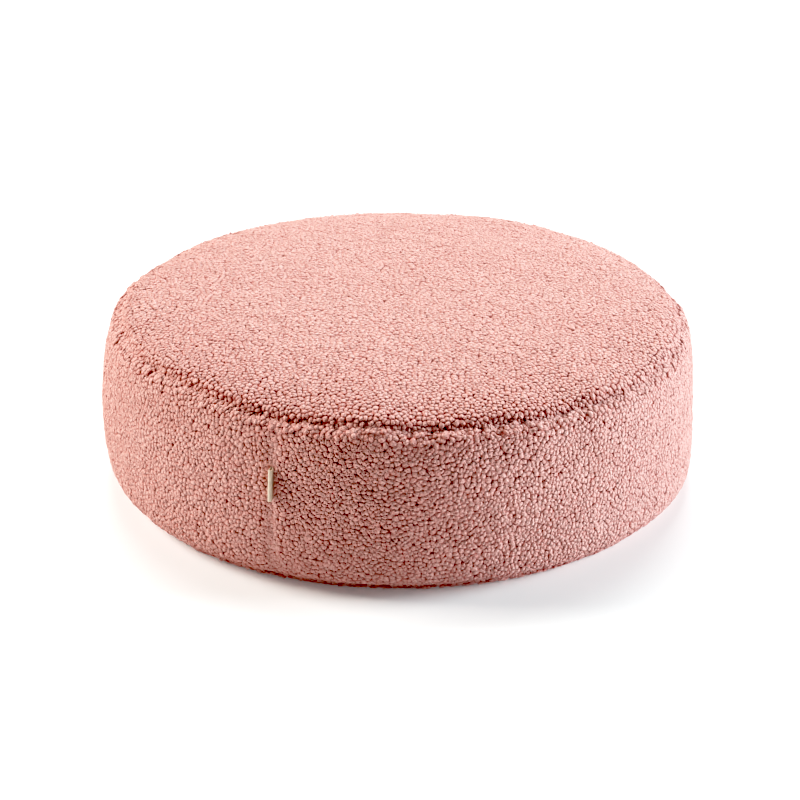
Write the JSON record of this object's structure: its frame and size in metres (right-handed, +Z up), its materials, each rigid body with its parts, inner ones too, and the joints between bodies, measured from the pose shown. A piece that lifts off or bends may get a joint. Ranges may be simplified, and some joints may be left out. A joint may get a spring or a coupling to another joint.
{
  "type": "floor pouf",
  "caption": "Low round filled floor pouf in rose curly pile cloth, with a crowned top, a sewn side band and a small folded tag in the side seam.",
  "frame": {"origin": "middle of the base, on the floor", "axes": "+Z up; the front, with the tag a little to its left, is towards -Y"},
  "size_m": [0.6017, 0.6004, 0.189],
  "materials": {
    "pile_cloth": "short curly pile in rose, matt with a soft sheen",
    "tag_tape": "woven cotton tape in cream, matt"
  },
  "bodies": {
    "root": {"pouf_body": "pile_cloth", "side_tag": "tag_tape"}
  },
  "joints": []
}
